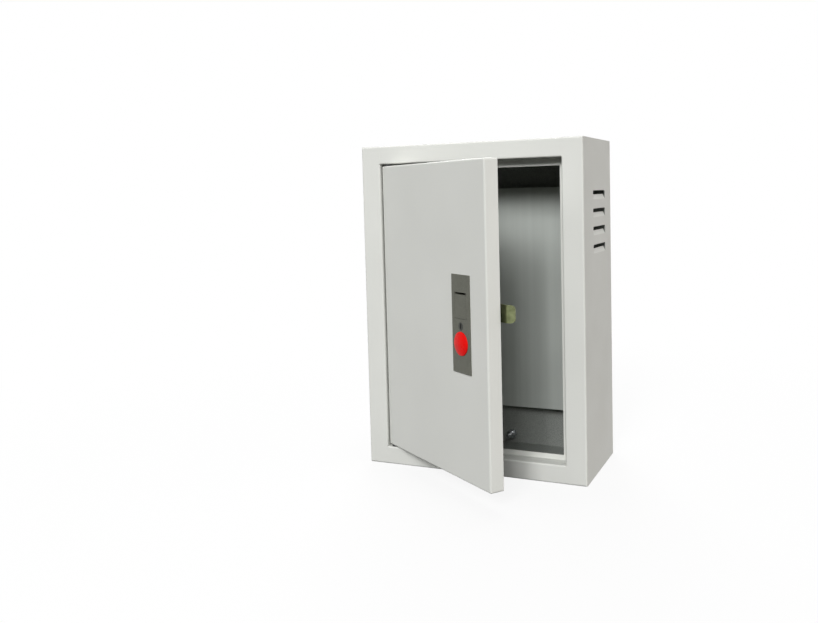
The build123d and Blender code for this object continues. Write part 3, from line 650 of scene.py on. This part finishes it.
def lock_fasteners():
    """Cross-recess screws of the lock's clips, the cam's hexagon screw and the button's wire spring."""

    def span(node_name, direction):
        """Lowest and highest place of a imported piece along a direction."""
        along = [vertex.co.dot(direction) for vertex in nodes[node_name].data.vertices]
        return min(along), max(along)

    def middle(node_name, direction):
        return sum(span(node_name, direction)) / 2

    def axis_point(node_name, depth):
        """Point on the axis of a piece that stands square to the door, at a depth."""
        across = door_along * middle(node_name, door_along) + UP * middle(node_name, UP)
        return door_inward * depth + across

    low, high = span("lock_screws", UP)
    centre = door_inward * middle("lock_screws", door_inward)
    centre += door_along * middle("lock_screws", door_along)
    seats = [
        standing(centre + UP * (high - PAN_HEAD_HEIGHT), UP, door_along),
        standing(centre + UP * (low + PAN_HEAD_HEIGHT), -UP, door_along),
    ]
    plain_screws = [(pan_screw(), seat) for seat in seats]
    screws = piece("recessed_lock_screws", plain_screws, "door", "lock_screws")
    carve(screws, [(recess_arm(lengthwise), seat) for seat in seats for lengthwise in (True, False)])

    point, head = span("cam_screw", door_inward)
    seat = standing(axis_point("cam_screw", head - CAM_SCREW_HEAD), door_inward, door_along)
    screw = hex_screw(head - CAM_SCREW_HEAD - point)
    piece("chamfered_cam_screw", [(screw, seat)], "cam", "cam_screw")

    low, high = span("button_spring", door_inward)
    seat = standing(axis_point("button_spring", high - SPRING_WIRE / 2), -door_inward, door_along)
    spring = wire_spring(high - low - SPRING_WIRE)
    piece("coiled_button_spring", [(spring, seat)], "door", "button_spring")


plate_fasteners()
lock_fasteners()


def studio_dome():
    """World that is white where it is seen, and otherwise a soft dome of light."""
    world = bpy.data.worlds.new("studio")
    shading = Shading(world)
    shading.tree.nodes.clear()
    direction = shading.add("SeparateXYZ", {"Vector": shading.add("TexCoord")["Generated"]})
    rise = shading.step(direction["Z"], DOME_RISE, DOME_BELOW, 1.0)
    fall = shading.step(direction["Z"], DOME_FALL, 1.0, DOME_TOP)
    front = shading.math("ADD", 1.0, shading.math("MULTIPLY", direction["Y"], -DOME_FRONT))
    band = shading.math("MULTIPLY", rise, fall)
    level = shading.math("MULTIPLY", shading.math("MULTIPLY", front, DOME_LEVEL), band)
    dome = shading.add("Background", {"Color": (*WHITE, 1.0), "Strength": level})["Background"]
    white = shading.add("Background", {"Color": (*WHITE, 1.0), "Strength": 1.0})["Background"]
    shading.show("World", shading.blend(shading.seen_directly(), dome, white))
    bpy.context.scene.world = world


def soft_lamp(name, azimuth, elevation, distance, size, power, colour=WHITE):
    """Wide soft lamp whose beam is turned to the object."""
    light = bpy.data.lights.new(name, "AREA")
    light.shape = "RECTANGLE"
    light.size, light.size_y = size
    light.energy = power
    light.color = colour
    across, up = radians(azimuth), radians(elevation)
    away = Vector((sin(across) * cos(up), -cos(across) * cos(up), sin(up)))
    lamp = bpy.data.objects.new(name, light)
    lamp.location = LAMP_AIM + away * distance
    lamp.rotation_euler = away.to_track_quat("Z", "Y").to_euler()
    bpy.context.scene.collection.objects.link(lamp)


def pale_floor():
    """Pale floor that shows the object's shadow and sends little light back up."""
    bpy.ops.mesh.primitive_plane_add(size=FLOOR_SIZE)
    floor = bpy.context.object
    floor.name = "floor"
    material = bpy.data.materials.new("floor")
    shading = Shading(material)
    shading.tree.nodes.clear()

    def matt(grey):
        return shading.add("BsdfDiffuse", {"Color": (grey, grey, grey, 1.0)})["BSDF"]

    place = shading.add("TexCoord")["Object"]
    reach = shading.add("VectorMath", {0: place}, operation="LENGTH")["Value"]
    fade = shading.step(reach, FLOOR_FADE, FLOOR_GLOW, 1.0)
    shown = shading.blend(fade, matt(FLOOR_GREY), shading.add("Emission")["Emission"])
    shading.show("Material", shading.blend(shading.seen_directly(), matt(FLOOR_BOUNCE), shown))
    floor.data.materials.append(material)


def photo_camera():
    """Camera of the photograph, shifted as its framing is."""
    lens = bpy.data.cameras.new("camera")
    lens.sensor_width = SENSOR_WIDTH
    lens.lens = FOCAL_PIXELS / IMAGE_WIDTH * SENSOR_WIDTH
    lens.shift_x = (IMAGE_WIDTH / 2 - AXIS_PIXEL[0]) / IMAGE_WIDTH
    lens.shift_y = (AXIS_PIXEL[1] - IMAGE_HEIGHT / 2) / IMAGE_WIDTH
    camera = bpy.data.objects.new("camera", lens)
    camera.location = CAMERA_PLACE
    camera.rotation_euler = [radians(angle) for angle in CAMERA_TURN]
    bpy.context.scene.collection.objects.link(camera)
    bpy.context.scene.camera = camera


studio_dome()
for lamp_name, lamp_values in LAMPS.items():
    soft_lamp(lamp_name, **lamp_values)
pale_floor()
photo_camera()
bpy.context.scene.view_settings.view_transform = "Standard"
